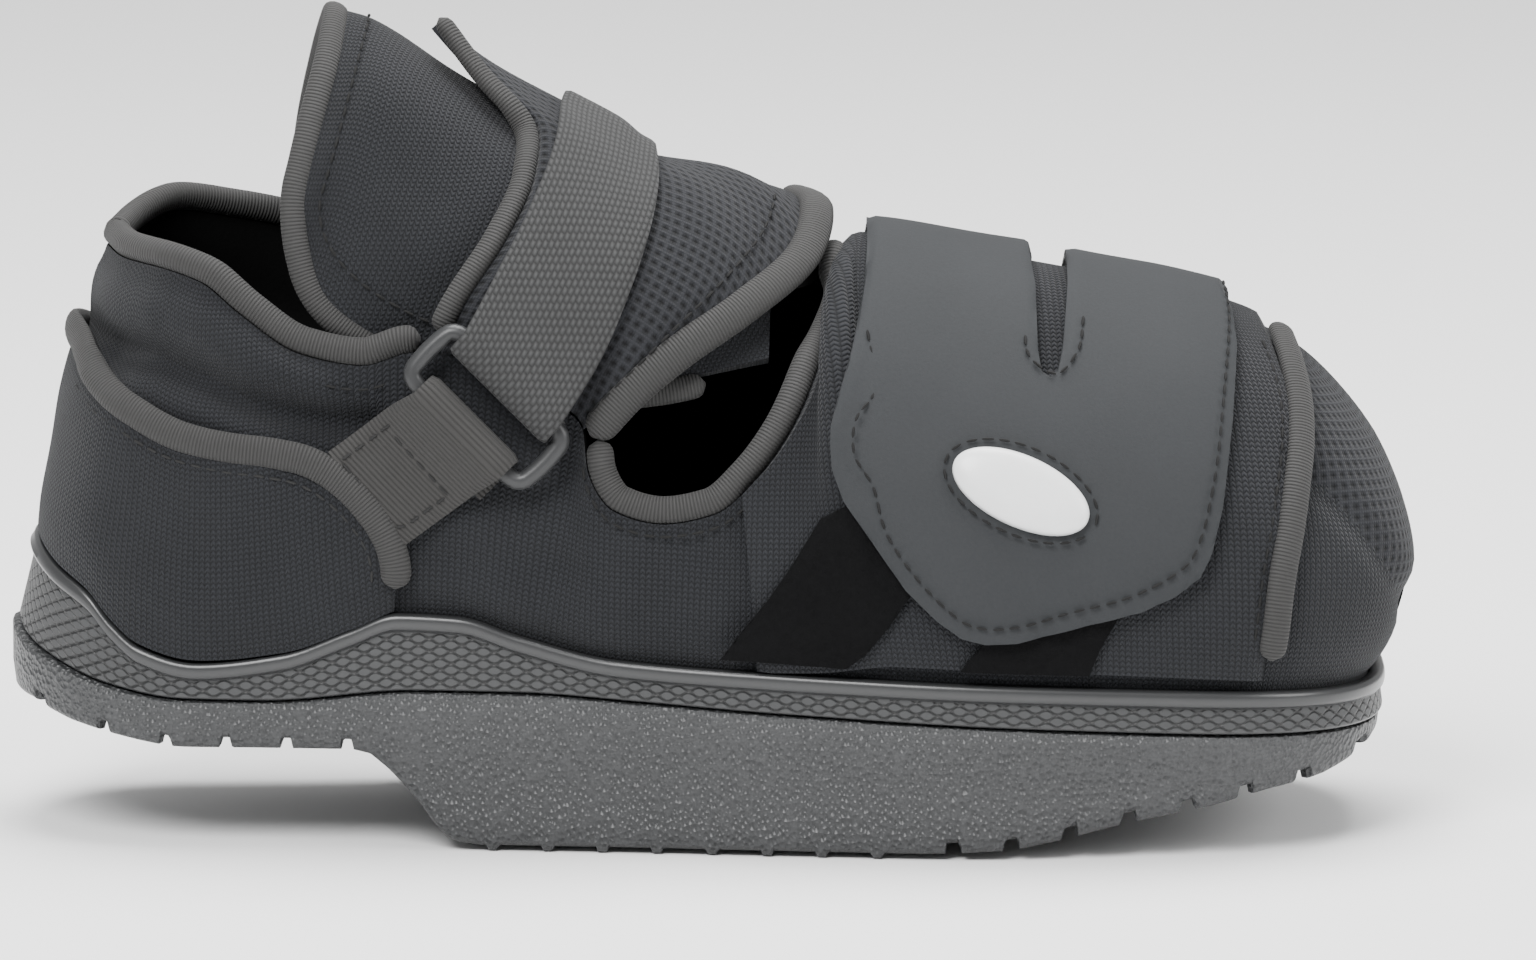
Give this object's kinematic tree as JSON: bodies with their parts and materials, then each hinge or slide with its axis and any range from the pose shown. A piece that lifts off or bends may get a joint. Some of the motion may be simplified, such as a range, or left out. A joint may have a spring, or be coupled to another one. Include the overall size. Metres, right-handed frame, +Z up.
{
  "type": "post operative shoe",
  "caption": "Grey post operative shoe with a rocker wedge sole, padded mesh upper, crossing ankle flaps, an ankle strap through a loop and a forefoot closure flap.",
  "frame": {"origin": "on the floor, at the middle of the flat that the shoe stands on", "axes": "+X to the toe, +Y to the side away from the closures, +Z up"},
  "size_m": [0.2932, 0.1122, 0.1717],
  "materials": {
    "webbing_grey": "woven webbing",
    "badge_white": "soft gloss",
    "tape_grey": "ribbed woven tape",
    "mesh_charcoal": "padded knit mesh",
    "suede_grey": "fine suede grain",
    "foam_black": "matt cloth over foam",
    "fuzzy_black": "fuzzy pile",
    "rubber_grey": "satin",
    "sole_grey": "matt, pebbled",
    "metal_grey": "satin"
  },
  "bodies": {
    "root": {"ankle_strap": "webbing_grey", "badge": "badge_white", "collar_binding": "tape_grey", "counter_binding": "tape_grey", "far_ankle_flap": "mesh_charcoal", "far_flap_binding": "tape_grey", "forefoot_flap": "suede_grey", "heel_counter": "suede_grey", "insole": "foam_black", "loop_patch_front": "fuzzy_black", "loop_patch_rear": "fuzzy_black", "loop_tab": "webbing_grey", "midsole": "rubber_grey", "near_ankle_flap": "mesh_charcoal", "near_flap_binding": "tape_grey", "outsole": "sole_grey", "strap_loop": "metal_grey", "throat_binding": "tape_grey", "upper": "mesh_charcoal", "vamp_binding": "tape_grey", "vamp_panel": "mesh_charcoal"}
  },
  "joints": []
}
